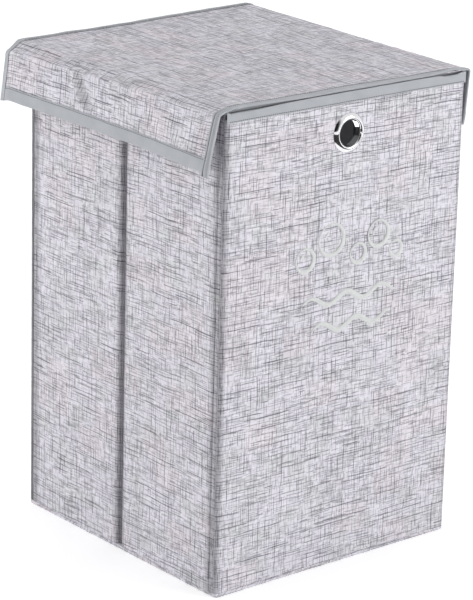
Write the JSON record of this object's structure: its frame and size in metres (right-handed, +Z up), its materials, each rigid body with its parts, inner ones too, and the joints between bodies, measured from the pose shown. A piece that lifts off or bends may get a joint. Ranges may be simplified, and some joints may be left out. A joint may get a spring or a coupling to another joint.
{
  "type": "laundry hamper with lid",
  "caption": "Folding fabric laundry hamper with board-stiffened walls, creased sides that fold inwards, a flip-up base board and a hinged lid with hanging side flaps.",
  "frame": {"origin": "middle of the base's underside, on the floor", "axes": "+Z up; -Y is the front, the eyelet wall that carries the lid; +X to the right of someone facing the front"},
  "size_m": [0.375, 0.3881, 0.56],
  "materials": {
    "printed_fabric": "pale lilac-grey non-woven fabric printed with irregular dark grey crosshatch lines",
    "tape": "plain grey non-woven binding tape with a dotted emboss",
    "lining": "plain grey non-woven lining",
    "board": "plain grey-brown board",
    "chrome": "polished"
  },
  "bodies": {
    "back_wall": {"base_sheet": "printed_fabric", "front_bottom_hem": "printed_fabric", "back_bottom_hem": "printed_fabric", "left_bottom_hem": "printed_fabric", "right_bottom_hem": "printed_fabric", "back_outer_fabric": "printed_fabric", "back_board": "board", "back_lining": "lining", "back_top_tape": "tape", "back_eyelet_ring": "chrome", "back_eyelet_washer": "chrome", "back_left_corner_web": "printed_fabric", "back_right_corner_web": "printed_fabric"},
    "front_wall": {"front_outer_fabric": "printed_fabric", "front_board": "board", "front_lining": "lining", "front_top_tape": "tape", "front_eyelet_ring": "chrome", "front_eyelet_washer": "chrome", "front_left_corner_web": "printed_fabric", "front_right_corner_web": "printed_fabric", "lid_hinge_strip": "tape"},
    "left_rear_half": {"left_rear_outer_fabric": "printed_fabric", "left_rear_board": "board", "left_rear_lining": "lining", "left_rear_top_tape": "tape", "left_crease_web": "printed_fabric"},
    "left_front_half": {"left_front_outer_fabric": "printed_fabric", "left_front_board": "board", "left_front_lining": "lining", "left_front_top_tape": "tape"},
    "right_rear_half": {"right_rear_outer_fabric": "printed_fabric", "right_rear_board": "board", "right_rear_lining": "lining", "right_rear_top_tape": "tape", "right_crease_web": "printed_fabric"},
    "right_front_half": {"right_front_outer_fabric": "printed_fabric", "right_front_board": "board", "right_front_lining": "lining", "right_front_top_tape": "tape"},
    "base_board": {"base_board": "board", "base_board_cover": "lining"},
    "lid": {"lid_board": "board", "lid_top_fabric": "printed_fabric", "lid_lining": "lining", "lid_front_tape": "tape", "lid_back_tape": "tape"},
    "left_flap": {"left_flap_fabric": "printed_fabric", "left_flap_tape": "tape"},
    "right_flap": {"right_flap_fabric": "printed_fabric", "right_flap_tape": "tape"}
  },
  "joints": [
    {"name": "left_rear_corner_fold", "type": "hinge", "parent": "back_wall", "child": "left_rear_half", "pos_m": [-0.1698, 0.166, 0.28], "axis": [0, 0, 1], "range_deg": [0, 89]},
    {"name": "left_crease_fold", "type": "hinge", "parent": "left_rear_half", "child": "left_front_half", "pos_m": [-0.1747, 0, 0.28], "axis": [0, 0, 1], "range_deg": [-178, 0]},
    {"name": "left_front_corner_fold", "type": "hinge", "parent": "left_front_half", "child": "front_wall", "pos_m": [-0.1698, -0.166, 0.28], "axis": [0, 0, 1], "range_deg": [0, 89]},
    {"name": "right_rear_corner_fold", "type": "hinge", "parent": "back_wall", "child": "right_rear_half", "pos_m": [0.1698, 0.166, 0.28], "axis": [0, 0, 1], "range_deg": [-89, 0]},
    {"name": "right_crease_fold", "type": "hinge", "parent": "right_rear_half", "child": "right_front_half", "pos_m": [0.1747, 0, 0.28], "axis": [0, 0, 1], "range_deg": [0, 178]},
    {"name": "lid_hinge", "type": "hinge", "parent": "front_wall", "child": "lid", "pos_m": [0, -0.178, 0.56], "axis": [1, 0, 0], "range_deg": [0, 255]},
    {"name": "left_flap_hinge", "type": "hinge", "parent": "lid", "child": "left_flap", "pos_m": [-0.1861, 0, 0.56], "axis": [0, 1, 0], "range_deg": [-8, 90]},
    {"name": "right_flap_hinge", "type": "hinge", "parent": "lid", "child": "right_flap", "pos_m": [0.1861, 0, 0.56], "axis": [0, -1, 0], "range_deg": [0, 90]},
    {"name": "base_board_hinge", "type": "hinge", "parent": "back_wall", "child": "base_board", "pos_m": [0, 0.1732, 0.0048], "axis": [-1, 0, 0], "range_deg": [0, 90]}
  ],
  "couplings": [
    {"joint": "left_crease_fold", "follows": "left_rear_corner_fold", "ratio": -2},
    {"joint": "left_front_corner_fold", "follows": "left_rear_corner_fold", "ratio": 1},
    {"joint": "right_rear_corner_fold", "follows": "left_rear_corner_fold", "ratio": -1},
    {"joint": "right_crease_fold", "follows": "left_rear_corner_fold", "ratio": 2}
  ]
}
